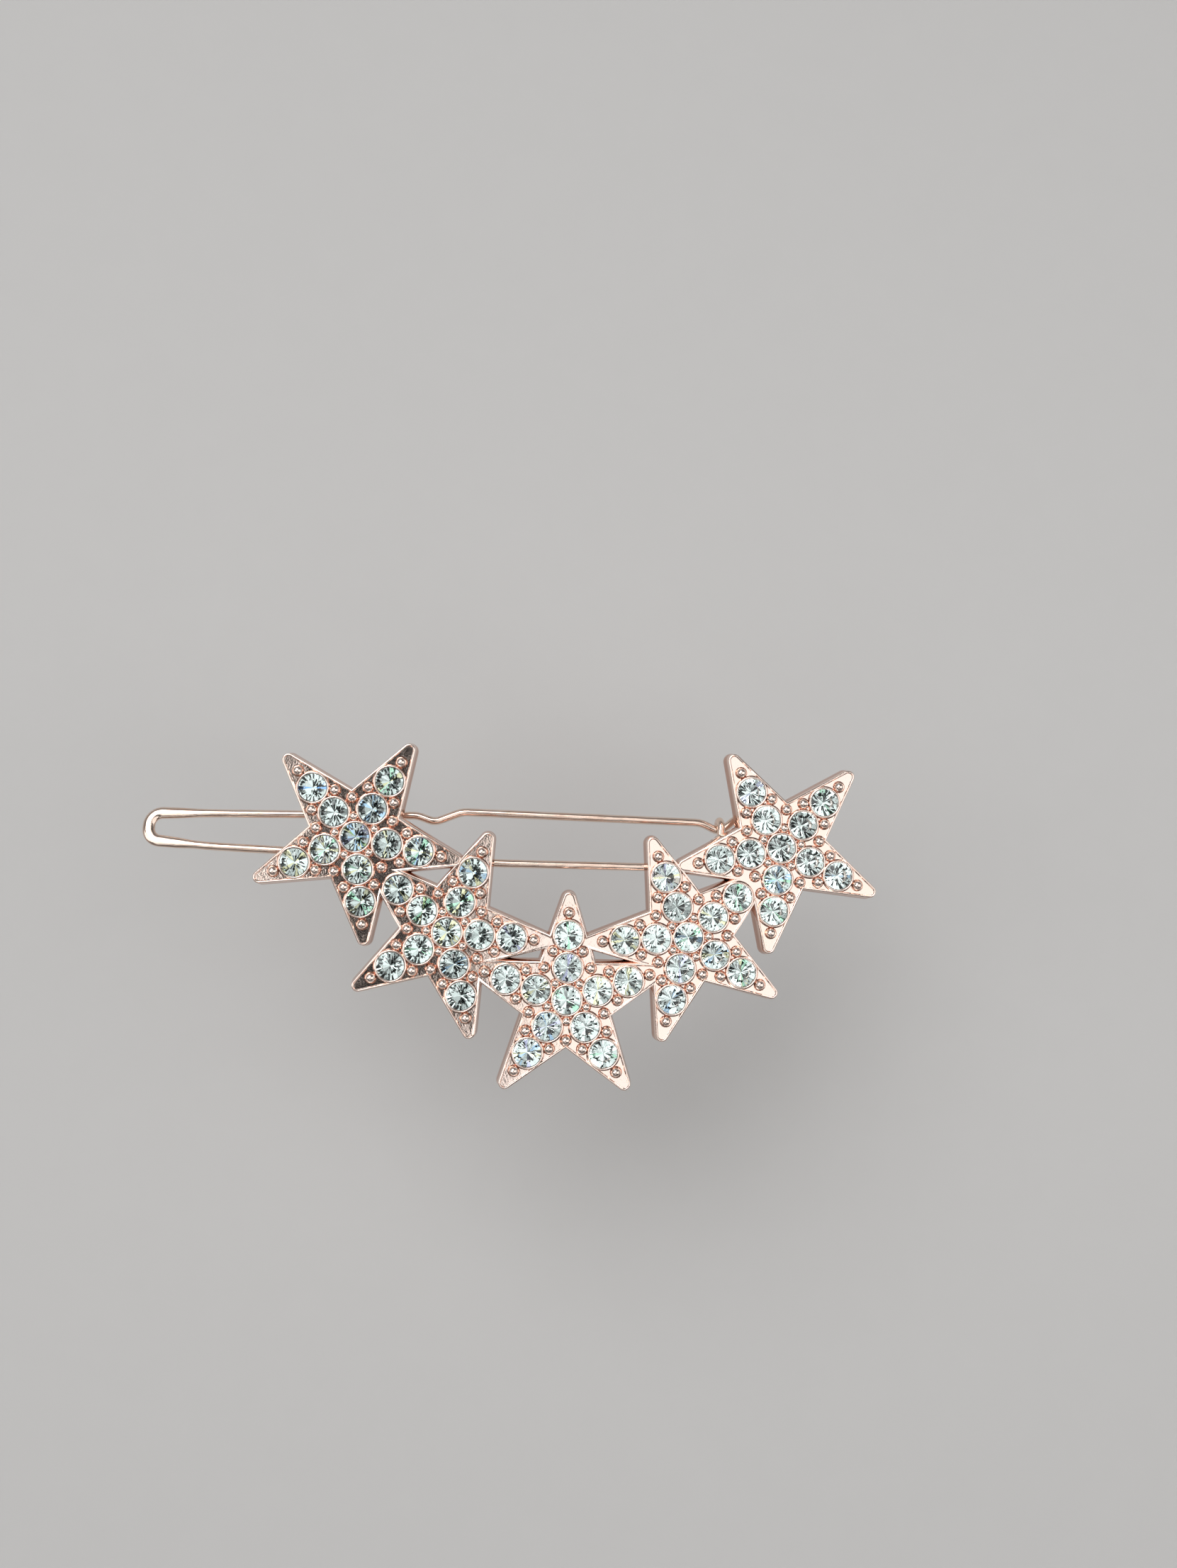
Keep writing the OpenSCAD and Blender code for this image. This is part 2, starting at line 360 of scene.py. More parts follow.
def wire_plating(colours):
    """Plated spring wire with faint drawing lines along the arms."""
    finish = Finish("wire_rose_gold")
    lines = finish.mottle(0.10 * MM, 2, (0.06, 1, 1))
    clouds = finish.mottle(1.8 * MM, 3)
    metal = finish.blend(clouds.step(0.3, 0.75) * 0.6, colours.wire, BROWNED_WIRE)
    return finish.surface(
        Base_Color=finish.blend(lines.step(0.5, 0.8) * 0.35, metal, colours.copper),
        Metallic=1.0, Roughness=clouds * 0.10 + 0.13,
        Normal=finish.bump(lines, 0.006 * MM))


def cut_glass(colours):
    """Clear glass of a stone's crown and girdle."""
    finish = Finish("crystal_glass")
    clouds = finish.mottle(1.2 * MM, 1)
    return finish.surface(
        Base_Color=finish.blend(clouds, colours.crystal, SEA_GLASS),
        Roughness=0.0, IOR=GLASS_IOR, Transmission_Weight=1.0)


def mirror_foil(colours):
    """Foil behind a stone with a faint crinkle, and painted shade and painted fire facet by facet."""
    finish = Finish("mirror_foil")
    # Painted light: each facet's colour is foil darkened as painted shade, or a colour of painted fire
    tint_and_painted_light = finish.node("ShaderNodeAttribute", {"attribute_name": "facet_tint"}, {}, "Color")
    crinkle = finish.mottle(0.35 * MM, 2)
    metal = finish.blend(crinkle.step(0.4, 0.8) * 0.35, tint_and_painted_light, colours.foil)
    return finish.surface(Base_Color=metal, Metallic=1.0, Roughness=crinkle * 0.08 + 0.02)


def satin_solder(colours):
    """Dull solder with flow marks."""
    finish = Finish("satin_solder")
    flow = finish.mottle(0.5 * MM, 4)
    specks = finish.mottle(0.08 * MM, 2)
    return finish.surface(
        Base_Color=finish.blend(flow.step(0.35, 0.7), colours.solder, DARK_SOLDER),
        Metallic=1.0, Roughness=specks * 0.25 + 0.28,
        Normal=finish.bump(flow * 0.7 + specks * 0.3, 0.05 * MM))


def cured_glue(colours):
    """Yellowish clear glue."""
    finish = Finish("cured_glue")
    clouds = finish.mottle(0.4 * MM, 2)
    return finish.surface(
        Base_Color=finish.blend(clouds.step(0.3, 0.7), colours.glue, AGED_GLUE),
        Roughness=clouds * 0.2 + 0.15, IOR=GLUE_IOR, Coat_Weight=0.3)


def pale_floor(colours):
    """Matt pale paper."""
    finish = Finish("pale_paper")
    fibres = finish.mottle(4 * MM, 3)
    return finish.surface(
        Base_Color=finish.blend(fibres * 0.25, colours.floor, PAPER_FIBRE),
        Roughness=0.9, Normal=finish.bump(fibres, 0.02 * MM))


# ---- Making pieces ----

def put_in_scene(name, mesh, materials):
    """An object at the origin that shows mesh."""
    piece = bpy.data.objects.new(name, mesh)
    bpy.context.scene.collection.objects.link(piece)
    for material in materials:
        mesh.materials.append(material)
    return piece


def mesh_from(shape, name):
    """Turns a bmesh into a mesh."""
    mesh = bpy.data.meshes.new(name)
    shape.to_mesh(mesh)
    shape.free()
    return mesh


def is_level(face):
    """Whether a face lies flat, up to a small lean."""
    return abs(face.normal.z) > LEVEL


def smooth_walls(shape, sharp_angle, rounded_z):
    """Smooth shading on all but the level faces, split at edges sharper than sharp_angle.
    Level faces at height rounded_z are smooth too, which makes a narrow land look round."""
    for face in shape.faces:
        rounded = abs(face.verts[0].co.z - rounded_z) < NEAR
        face.smooth = rounded or not is_level(face)
    for edge in shape.edges:
        edge.smooth = edge.is_manifold and edge.calc_face_angle(0) < sharp_angle


def smooth_all(shape):
    """Smooth shading on every face."""
    for face in shape.faces:
        face.smooth = True


def lathe(profile, steps):
    """A closed turned shape from its half profile of (radius, height) points."""
    shape = bmesh.new()
    points = [shape.verts.new((radius, 0, height)) for radius, height in profile]
    for first, second in zip(points, points[1:]):
        shape.edges.new((first, second))
    bmesh.ops.spin(shape, geom=shape.verts[:] + shape.edges[:], cent=(0, 0, 0), axis=(0, 0, 1),
                   angle=math.tau, steps=steps, use_merge=True)
    bmesh.ops.remove_doubles(shape, verts=shape.verts, dist=MERGE)
    bmesh.ops.recalc_face_normals(shape, faces=shape.faces)
    return shape


def copies(source, places):
    """One bmesh with a copy of source at every place; source is used up."""
    originals = source.verts[:] + source.edges[:] + source.faces[:]
    for place in places:
        made = bmesh.ops.duplicate(source, geom=originals)
        verts = [item for item in made["geom"] if isinstance(item, bmesh.types.BMVert)]
        bmesh.ops.transform(source, matrix=place, verts=verts)
    bmesh.ops.delete(source, geom=originals, context="VERTS")
    return source


def combined(base, other, operation):
    """Mesh of base with other added or cut away, without slivers. Both objects are used up."""
    boolean = base.modifiers.new("Boolean", "BOOLEAN")
    boolean.operation = operation
    boolean.solver = "EXACT"
    boolean.object = other
    graph = bpy.context.evaluated_depsgraph_get()
    mesh = bpy.data.meshes.new_from_object(base.evaluated_get(graph))
    bpy.data.objects.remove(other)
    bpy.data.objects.remove(base)
    shape = bmesh.new()
    shape.from_mesh(mesh)
    bmesh.ops.remove_doubles(shape, verts=shape.verts, dist=SLIVER)
    bmesh.ops.dissolve_degenerate(shape, edges=shape.edges, dist=SLIVER)
    shape.to_mesh(mesh)
    shape.free()
    return mesh


# ---- Star casting ----

def star_corner(sizes, spread):
    """Half the turn of an arm's tip arc, and the notch beside it when the outline is spread."""
    notch = sizes.notch_radius * Vector((math.cos(ARM_STEP / 2), math.sin(ARM_STEP / 2)))
    to_tip = Vector((sizes.arm_reach, 0)) - notch
    edge_turn = math.atan2(to_tip.y, to_tip.x) + math.asin(sizes.tip_radius / to_tip.length)
    half_arc = math.pi / 2 + edge_turn
    notch_half = ARM_STEP / 2 - edge_turn
    notch = notch * (1 + spread / math.sin(notch_half) / sizes.notch_radius)
    return half_arc, notch


def star_solid(sizes, place, spread, start_z, steps, facing=1):
    """A closed solid on one star's outline, spread outwards. It grows up from start_z, or down
    if facing is -1, and each step goes in millimetres inwards and along."""
    shape = bmesh.new()
    half_arc, notch = star_corner(sizes, spread)
    tip = Vector((sizes.arm_reach, 0, 0))
    start = Matrix.Rotation(-half_arc, 4, "Z") @ Vector((sizes.tip_radius + spread, 0, 0))
    ends = []
    for arm in range(ARM_COUNT):
        turn = Matrix.Rotation(math.pi / 2 + arm * ARM_STEP, 4, "Z")
        begin = shape.verts.new(turn @ (tip + start))
        arc = bmesh.ops.spin(shape, geom=[begin], cent=turn @ tip, axis=(0, 0, 1),
                             angle=2 * half_arc, steps=sizes.tip_steps)
        end = next(item for item in arc["geom_last"] if isinstance(item, bmesh.types.BMVert))
        corner = shape.verts.new(turn @ Vector((notch.x, notch.y, 0)))
        shape.edges.new((end, corner))
        ends.append((begin, corner))
    for (begin, _), (_, corner) in zip(ends, ends[-1:] + ends[:-1]):
        shape.edges.new((corner, begin))
    face = bmesh.ops.contextual_create(shape, geom=shape.edges[:])["faces"][0]
    face.normal_update()
    if face.normal.z * facing < 0:
        face.normal_flip()
    for inwards, along in steps:
        bmesh.ops.inset_region(shape, faces=[face], thickness=inwards * MM, depth=along * MM,
                               use_even_offset=True, use_boundary=True)
    bmesh.ops.holes_fill(shape, edges=[edge for edge in shape.edges if edge.is_boundary])
    bmesh.ops.recalc_face_normals(shape, faces=shape.faces)
    lift = Matrix.Translation((0, 0, start_z))
    bmesh.ops.transform(shape, matrix=lift @ place, verts=shape.verts)
    return shape


# Steps of the rim's section: round the outer edge, inwards and along in millimetres, and from the
# land down to the field, inwards in millimetres and along in shares of the field's depth. The cut
# for the field starts above the rim, and its first step leads down to the land.
OUTER_EDGE = [(0.03, 0.06), (0.055, 0.03)]
INNER_EDGE = [(0.035, 1 / 6), (0.03, 17 / 24), (0.03, 1 / 8)]
ABOVE_RIM = (0.001, 0.50)
RIM_LAND = 0.14 * MM
# Shape of a cup below its stone, and how steep an edge of the casting is shaded sharp
CUP_FLOOR_DROP = 0.18 * MM
CUP_FLOOR_RADIUS = 0.45 * MM
CUP_WALL_DROP = 0.13 * MM
SHARP_EDGE = math.radians(60)


def joined_stars(name, solids):
    """One object in which the solids of all five stars are joined."""
    whole = None
    for solid in solids:
        star = put_in_scene(name, mesh_from(solid, name), [])
        if whole is None:
            whole = star
        else:
            whole = put_in_scene(name, combined(whole, star, "UNION"), [])
    return whole


def star_casting(sizes, cups):
    """The five stars joined, with their rim and field, and the cups cut out."""
    rise = sum(along for _, along in OUTER_EDGE)
    wall = [(sizes.draft / MM, sizes.thickness / MM - rise)]
    rim_z = BACK_Z + sizes.thickness
    start_z = rim_z + ABOVE_RIM[1] * MM
    field = [(inwards, share * sizes.field_depth / MM) for inwards, share in INNER_EDGE]
    plates = [star_solid(sizes, place, sizes.draft, BACK_Z, wall + OUTER_EDGE) for place in STARS]
    fields = [star_solid(sizes, place, -RIM_LAND, start_z, [ABOVE_RIM] + field, -1)
              for place in STARS]
    casting = joined_stars("casting", plates)
    pocket = joined_stars("pocket", fields)
    casting = put_in_scene("casting", combined(casting, pocket, "DIFFERENCE"), [])
    cutter = put_in_scene("cups", mesh_from(cups, "cups"), [])
    return combined(casting, cutter, "DIFFERENCE")


def stone_places(lean=0.0, seed=0):
    """Node name and place of every stone; each leans a little and is turned by chance."""
    chance = random.Random(seed)
    for node in STONES:
        turn = Matrix.Rotation(chance.uniform(0, math.tau), 4, "Z")
        tip = Matrix.Rotation(chance.uniform(-lean, lean), 4, "X")
        yield node, Matrix.Translation(middle(node)) @ turn @ tip


def setting_heights(sizes):
    """Heights of the rim and of the field."""
    rim = BACK_Z + sizes.thickness
    return rim, rim - sizes.field_depth


class HAIRCLIP_OT_casting(bpy.types.Operator):
    """Cast the five joined stars with their rim, field and cups"""

    bl_idname = "hair_clip.casting"
    bl_label = "Star Casting"

    def execute(self, context):
        scene = context.scene
        star, setting, stone = scene.hair_clip_star, scene.hair_clip_setting, scene.hair_clip_stone
        rim_z, _ = setting_heights(star)
        cup_radius = STONE_RADIUS + setting.cup_gap
        girdle_z = STONE_LOW.z + stone.cone_height
        floor_z = STONE_LOW.z - CUP_FLOOR_DROP
        clear_z = rim_z + MM
        profile = [(0, floor_z), (CUP_FLOOR_RADIUS, floor_z), (cup_radius, girdle_z - CUP_WALL_DROP),
                   (cup_radius, clear_z), (0, clear_z)]
        cups = copies(lathe(profile, 40), [Matrix.Translation(middle(node)) for node in STONES])
        mesh = star_casting(star, cups)
        shape = bmesh.new()
        shape.from_mesh(mesh)
        smooth_walls(shape, SHARP_EDGE, rim_z)
        finish = cast_plating(scene.hair_clip_colours, rim_z)
        piece = put_in_scene("star_casting", mesh_from(shape, "star_casting"), [finish])
        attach(piece, ORNAMENT)
        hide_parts("star_plate")
        return {"FINISHED"}


class HAIRCLIP_OT_collars(bpy.types.Operator):
    """Raise the thin collar round every stone"""

    bl_idname = "hair_clip.collars"
    bl_label = "Stone Collars"

    def execute(self, context):
        scene = context.scene
        setting = scene.hair_clip_setting
        rim_z, field_z = setting_heights(scene.hair_clip_star)
        inner = STONE_RADIUS + setting.cup_gap
        outer = inner + setting.collar_width
        top = rim_z + setting.collar_height
        round_off = 0.04 * MM
        foot = outer + setting.foot_width
        buried = field_z - 0.2 * MM
        profile = [
            (inner, buried), (inner, top - round_off), (inner + round_off, top),
            (outer - round_off, top), (outer, top - 1.5 * round_off),
            (outer + 0.2 * setting.foot_width, field_z + 0.07 * MM), (foot, field_z + 0.005 * MM),
            (foot, buried), (inner, buried)]
        shape = copies(lathe(profile, 36), [Matrix.Translation(middle(node)) for node in STONES])
        smooth_all(shape)
        # The painted copper shade round the collars' foot reaches up to this height
        foot_shade_top = field_z + 0.12 * MM
        finish = polished_plating(scene.hair_clip_colours, "collar_rose_gold", field_z, foot_shade_top)
        piece = put_in_scene("stone_collars", mesh_from(shape, "stone_collars"), [finish])
        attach(piece, ORNAMENT)
        return {"FINISHED"}


# Distances of the beads from their star's centre, and how far the arm's pair stands aside
ARM_PAIR = 4.36 * MM
ARM_PAIR_TURN = math.radians(17)
NOTCH_BEAD = 3.4 * MM
CENTRE_BEAD = 1.76 * MM
TIP_BEAD = 7.45 * MM
# Star and arm of the two tips without a bead, where they run into an end star
BARE_TIPS = {(1, 1), (3, 4)}


def bead_places(setting):
    """Place and radius of every bead."""
    large, small = setting.bead_radius, setting.small_bead_radius
    beside = [(ARM_PAIR, ARM_PAIR_TURN, large), (ARM_PAIR, -ARM_PAIR_TURN, large),
              (NOTCH_BEAD, ARM_STEP / 2, large), (CENTRE_BEAD, ARM_STEP / 2, small)]
    on_tip = (TIP_BEAD, 0, large)
    for number, star in enumerate(STARS):
        for arm in range(ARM_COUNT):
            beads = beside if (number, arm) in BARE_TIPS else beside + [on_tip]
            for distance, aside, radius in beads:
                turn = Matrix.Rotation(math.pi / 2 + arm * ARM_STEP + aside, 4, "Z")
                yield star @ turn @ Matrix.Translation((distance, 0, 0)), radius


class HAIRCLIP_OT_beads(bpy.types.Operator):
    """Set the small cast beads between the stones"""

    bl_idname = "hair_clip.beads"
    bl_label = "Cast Beads"

    def execute(self, context):
        scene = context.scene
        setting = scene.hair_clip_setting
        _, field_z = setting_heights(scene.hair_clip_star)
        size = setting.bead_radius
        rounds = [math.radians(degrees) for degrees in (90, 72, 54, 36, 16)]
        dome = [(size * math.cos(rise), setting.bead_lift + size * math.sin(rise)) for rise in rounds]
        neck = (1.05 * size, 0.03 * MM)
        foot_radius = 1.18 * size
        buried = -0.1 * MM
        foot = [neck, (foot_radius, 0), (foot_radius, buried), (0, buried)]
        bead = lathe(dome + foot, 14)
        places = []
        for place, radius in bead_places(setting):
            lift = Matrix.Translation((0, 0, field_z))
            places.append(lift @ place @ Matrix.Scale(radius / size, 4))
        shape = copies(bead, places)
        smooth_all(shape)
        # Painted shade: below high the beads darken towards copper, fully so at low by their foot
        low, high = field_z + 0.02 * MM, field_z + 0.3 * MM
        finish = polished_plating(scene.hair_clip_colours, "bead_rose_gold", low, high)
        piece = put_in_scene("cast_beads", mesh_from(shape, "cast_beads"), [finish])
        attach(piece, ORNAMENT)
        return {"FINISHED"}


# ---- Stones ----

def cut_facets(stone, count, turn, tilt, radius, height):
    """Grinds count flat facets round a stone. Each passes through (radius, height), and its
    normal leans out from straight up by tilt."""
    for number in range(count):
        aim = turn + number * math.tau / count
        out = Vector((math.cos(aim), math.sin(aim), 0))
        normal = out * math.sin(tilt) + Vector((0, 0, math.cos(tilt)))
        geometry = stone.verts[:] + stone.edges[:] + stone.faces[:]
        through = out * radius + Vector((0, 0, height))
        cut = bmesh.ops.bisect_plane(stone, geom=geometry, dist=MERGE, clear_outer=True,
                                     plane_co=through, plane_no=normal)
        edges = [item for item in cut["geom_cut"] if isinstance(item, bmesh.types.BMEdge)]
        bmesh.ops.contextual_create(stone, geom=edges)


# How much steeper the girdle facets are than the crown, the slope of the facets round the table,
# and how much steeper every second facet of the cone is
GIRDLE_FACET_LEAN = math.radians(7)
STAR_FACET_SLOPE = math.radians(24)
CONE_FACET_LEAN = math.radians(0.4)


def cut_stone(sizes):
    """A cut stone with a point: a turned blank with its crown and cone ground to facets."""
    low, high = STONE_LOW.z, STONE_HIGH.z
    girdle_low = low + sizes.cone_height
    girdle_high = girdle_low + sizes.girdle_height
    stone = lathe([(0, low), (STONE_RADIUS, low), (STONE_RADIUS, high), (0, high)], 32)
    bmesh.ops.dissolve_limit(stone, angle_limit=math.radians(1), verts=stone.verts,
                             edges=stone.edges)
    eighth = math.tau / 8
    corner = sizes.table_radius / math.cos(eighth / 2)
    crown_slope = math.atan2(high - girdle_high, STONE_RADIUS - corner)
    cone_slope = math.atan2(sizes.cone_height, STONE_RADIUS)
    cut_facets(stone, 8, eighth / 2, crown_slope, STONE_RADIUS, girdle_high)
    cut_facets(stone, 16, eighth / 4, crown_slope + GIRDLE_FACET_LEAN, STONE_RADIUS, girdle_high)
    cut_facets(stone, 8, 0, STAR_FACET_SLOPE, sizes.table_radius, high)
    cut_facets(stone, 8, eighth / 2, math.pi - cone_slope, 0, low)
    cut_facets(stone, 8, 0, math.pi - cone_slope - CONE_FACET_LEAN, 0, low)
    bmesh.ops.recalc_face_normals(stone, faces=stone.faces)
    return stone


# Painted fire: these colours stand for the glints that dispersion in the glass would throw
PAINTED_FIRE_TINTS = [(0.55, 0.75, 1.0), (0.6, 1.0, 0.75), (1.0, 0.93, 0.6), (0.72, 0.7, 1.0)]
PAINTED_FIRE_SHARE = 0.08
# Painted shade: strengths that darken a facet's foil colour at random
FACET_SHADE_STRENGTHS = (0.5, 0.8, 1.0, 1.0, 1.0)
FOILED_BELOW = -0.1


def foil_facets_with_painted_light(stone, chance, foil):
    """Foils the facets that face down. Most facets get the foil colour, darkened at random as painted
    shade; here and there a facet gets a colour of painted fire."""
    layer = stone.faces.layers.float_color.new("facet_tint")
    for face in stone.faces:
        foiled = face.normal.z < FOILED_BELOW
        face.material_index = int(foiled)
        # Painted shade on some facets, and painted fire on a share of them
        strength = chance.choice(FACET_SHADE_STRENGTHS)
        tint_and_painted_light = chance.choice(PAINTED_FIRE_TINTS) if chance.random() < PAINTED_FIRE_SHARE else foil
        face[layer] = (*(part * strength for part in tint_and_painted_light), 1)


class HAIRCLIP_OT_stones(bpy.types.Operator):
    """Cut the faceted stones and set one in every cup"""

    bl_idname = "hair_clip.stones"
    bl_label = "Faceted Stones"

    def execute(self, context):
        sizes, colours = context.scene.hair_clip_stone, context.scene.hair_clip_colours
        finishes = [cut_glass(colours), mirror_foil(colours)]
        master = cut_stone(sizes)
        chance = random.Random(sizes.seed)
        girdle = Vector((0, 0, STONE_LOW.z + sizes.cone_height))
        for node, place in stone_places(sizes.lean, sizes.seed):
            stone = master.copy()
            foil_facets_with_painted_light(stone, chance, tuple(colours.foil))
            about = Matrix.Translation(girdle) @ place @ Matrix.Translation(-girdle)
            bmesh.ops.transform(stone, matrix=about, verts=stone.verts)
            name = node.replace("stone", "cut_stone")
            piece = put_in_scene(name, mesh_from(stone, node), finishes)
            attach(piece, ORNAMENT)
            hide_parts(node)
        master.free()
        return {"FINISHED"}


class HAIRCLIP_OT_glue(bpy.types.Operator):
    """Finish the drops of glue in the cups"""

    bl_idname = "hair_clip.glue"
    bl_label = "Stone Glue"

    def execute(self, context):
        glue = frame["nodes"]["stone_glue"]
        glue.data.materials.clear()
        glue.data.materials.append(cured_glue(context.scene.hair_clip_colours))
        return {"FINISHED"}


# ---- Spring wire ----

# Moves along the wire in millimetres and degrees: (length,) runs straight, (radius, turn) bends,
# to the left if turn is positive. The arms are bent in one plane, the hook has its own moves.
FIXED_MOVES = [(17.4,), (60, -2), (23.2,), (40, -3), (3,), (1.1, -85), (0.15,)]
FREE_MOVES = [(0.15,), (1.1, -89), (21.5,), (2, -20), (0.8,), (1.3, 42), (1.5,), (2.5, -24),
              (20.2,), (2.5, -25), (0.75,), (0.9, 66), (1.5,)]
HOOK_MOVES = [(1.0, 90), (2.4,)]
CURL_MOVE = (0.85, 135)
BEND_STEP = math.radians(11)
STRAIGHT_STEP = 1.5 * MM
PRESSED_LENGTH = 4.2 * MM
# Counted from the closed end, the straight move along which the wire narrows to its round section
NARROWING_MOVE = 2
# A pressed wire gets thinner by this power of how much wider it gets
THINNING = 0.6


class WireBender:
    """Draws a wire out of its last ring, one move after another, along its pose's X axis."""

    def __init__(self, pose, radius, sides):
        self.shape = bmesh.new()
        self.pose = pose
        self.width = 1.0
        upright = Matrix.Rotation(math.pi / 2, 4, "Y")
        bmesh.ops.create_circle(self.shape, segments=sides, radius=radius, matrix=pose @ upright)
        self.start = self.shape.edges[:]
        self.ring = self.start

    def go_to_start(self, pose):
        """Goes on from the wire's first ring, the other way."""
        self.ring = self.start
        self.pose = pose
        self.width = 1.0

    def advance(self, step, width=1.0, scale=1.0):
        """Draws one more ring, moved by step, pressed to width and scaled."""
        drawn = bmesh.ops.extrude_edge_only(self.shape, edges=self.ring)["geom"]
        edges = [item for item in drawn if isinstance(item, bmesh.types.BMEdge)]
        self.ring = [edge for edge in edges if edge.is_boundary]
        verts = [item for item in drawn if isinstance(item, bmesh.types.BMVert)]
        across = width / self.width * scale
        through = (self.width / width) ** THINNING * scale
        press = Matrix.Diagonal((1, across, through, 1))
        change = self.pose @ step @ press @ self.pose.inverted()
        bmesh.ops.transform(self.shape, matrix=change, verts=verts)
        self.pose = self.pose @ step
        self.width = width

    def straight(self, distance, width_at):
        """Runs straight. The wire's width is width_at of how far it has run."""
        count = max(1, round(distance / STRAIGHT_STEP))
        for number in range(count):
            gone = distance * (number + 1) / count
            self.advance(Matrix.Translation((distance / count, 0, 0)), width_at(gone))

    def bend(self, radius, turn, axis="Z", width=1.0):
        """Bends to the left for a positive turn, or down if axis is Y."""
        count = max(2, math.ceil(abs(turn) / BEND_STEP))
        side = math.copysign(radius, turn)
        centre = Matrix.Translation((0, side, 0) if axis == "Z" else (0, 0, -side))
        step = centre @ Matrix.Rotation(turn / count, 4, axis) @ centre.inverted()
        for _ in range(count):
            self.advance(step, width)

    def make(self, move, width=1.0):
        """Makes one of the listed moves."""
        if len(move) == 1:
            self.straight(move[0] * MM, lambda gone: width)
        else:
            self.bend(move[0] * MM, math.radians(move[1]), width=width)

    def round_end(self, radius):
        """Ends the wire in half a ball."""
        before = 0.0
        for degrees in (30, 55, 75, 88):
            rise = math.radians(degrees)
            move = Matrix.Translation((radius * (math.sin(rise) - math.sin(before)), 0, 0))
            self.advance(move, 1.0, math.cos(rise) / math.cos(before))
            before = rise
        self.flat_end()

    def flat_end(self):
        """Closes the last ring with a flat face."""
        bmesh.ops.contextual_create(self.shape, geom=self.ring)

    def finished(self):
        """The wire's bmesh, smooth but for its flat ends."""
        bmesh.ops.recalc_face_normals(self.shape, faces=self.shape.faces)
        for face in self.shape.faces:
            face.smooth = len(face.verts) <= 4
            if not face.smooth:
                for edge in face.edges:
                    edge.smooth = False
        return self.shape


def run_moves(bender, moves, end_width, toward_end):
    """Makes the moves of one arm. The wire is pressed wider by its closed end."""
    for number, move in enumerate(moves):
        from_end = len(moves) - 1 - number if toward_end else number
        run = move[0] * MM
        if from_end < NARROWING_MOVE:
            bender.make(move, end_width)
        elif from_end > NARROWING_MOVE:
            bender.make(move)
        elif toward_end:
            bender.straight(run, lambda gone: pressed(run - gone, end_width))
        else:
            bender.straight(run, lambda gone: pressed(gone, end_width))


def pressed(distance, end_width):
    """Width of the wire at that distance from the bend at its closed end."""
    near = max(0.0, 1 - distance / PRESSED_LENGTH)
    return 1 + (end_width - 1) * near * near * (3 - 2 * near)


def wire_poses(sizes):
    """Pose of the corner where the fixed arm turns into the hook, in the clip and in the plane
    of the arms."""
    height = BACK_Z - sizes.radius
    corner_x = sizes.hook_x - sizes.corner_radius
    to_arm = MIDDLE_STAR + Vector((0, sizes.fixed_rise, height))
    corner = Matrix.Translation(to_arm + Vector((corner_x, 0, 0)))
    plane = Matrix.Translation(to_arm) @ Matrix.Rotation(-sizes.tilt, 4, "X")
    back = plane @ Matrix.Translation((corner_x, 0, 0)) @ Matrix.Rotation(math.pi, 4, "Z")
    return corner, back


def pose_after(pose, moves):
    """Pose at the end of some moves."""
    for move in moves:
        if len(move) == 1:
            pose = pose @ Matrix.Translation((move[0] * MM, 0, 0))
        else:
            turn = math.radians(move[1])
            centre = Matrix.Translation((0, math.copysign(move[0] * MM, turn), 0))
            pose = pose @ centre @ Matrix.Rotation(turn, 4, "Z") @ centre.inverted()
    return pose


class HAIRCLIP_OT_fixed_arm(bpy.types.Operator):
    """Bend the fixed arm of the wire and its hook"""

    bl_idname = "hair_clip.fixed_arm"
    bl_label = "Fixed Arm and Hook"

    def execute(self, context):
        sizes = context.scene.hair_clip_wire
        corner, back = wire_poses(sizes)
        bender = WireBender(corner, sizes.radius, sizes.sides)
        for move in HOOK_MOVES:
            bender.make(move)
        bender.bend(CURL_MOVE[0] * MM, math.radians(CURL_MOVE[1]), "Y")
        bender.round_end(sizes.radius)
        bender.go_to_start(back)
        run_moves(bender, FIXED_MOVES, sizes.end_width, True)
        bender.flat_end()
        finish = wire_plating(context.scene.hair_clip_colours)
        mesh = mesh_from(bender.finished(), "bent_fixed_arm")
        piece = put_in_scene("bent_fixed_arm", mesh, [finish])
        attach(piece, ORNAMENT)
        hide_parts("fixed_arm")
        return {"FINISHED"}


class HAIRCLIP_OT_free_arm(bpy.types.Operator):
    """Bend the free arm of the wire, which springs out of the hook"""

    bl_idname = "hair_clip.free_arm"
    bl_label = "Free Arm"

    def execute(self, context):
        sizes = context.scene.hair_clip_wire
        _, back = wire_poses(sizes)
        closed_end = pose_after(back, FIXED_MOVES)
        bender = WireBender(closed_end, sizes.radius, sizes.sides)
        press = Matrix.Diagonal((1, sizes.end_width, sizes.end_width ** -THINNING, 1))
        bmesh.ops.transform(bender.shape, matrix=closed_end @ press @ closed_end.inverted(),
                            verts=bender.shape.verts)
        bender.width = sizes.end_width
        bender.flat_end()
        run_moves(bender, FREE_MOVES, sizes.end_width, False)
        bender.round_end(sizes.radius)
        finish = wire_plating(context.scene.hair_clip_colours)
        mesh = mesh_from(bender.finished(), "bent_free_arm")
        piece = put_in_scene("bent_free_arm", mesh, [finish])
        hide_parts("free_arm")
        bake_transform(piece)
        return {"FINISHED"}


# ---- Solder ----

# Distance of a drop along the hook's run, and of the others along the fixed arm, each after
# that many of its moves
HOOK_DROP = 0.9 * MM
ARM_DROPS = [(0, 4.4 * MM), (2, 0.95 * MM), (2, 12 * MM)]
# Ripples on a drop: how much they raise its surface, and how far they reach
WAVE, WAVE_SIZE = 0.13, 0.55 * MM
FINE_WAVE, FINE_WAVE_SIZE = 0.03, 0.22 * MM
DROP_FLATTENING = 0.82
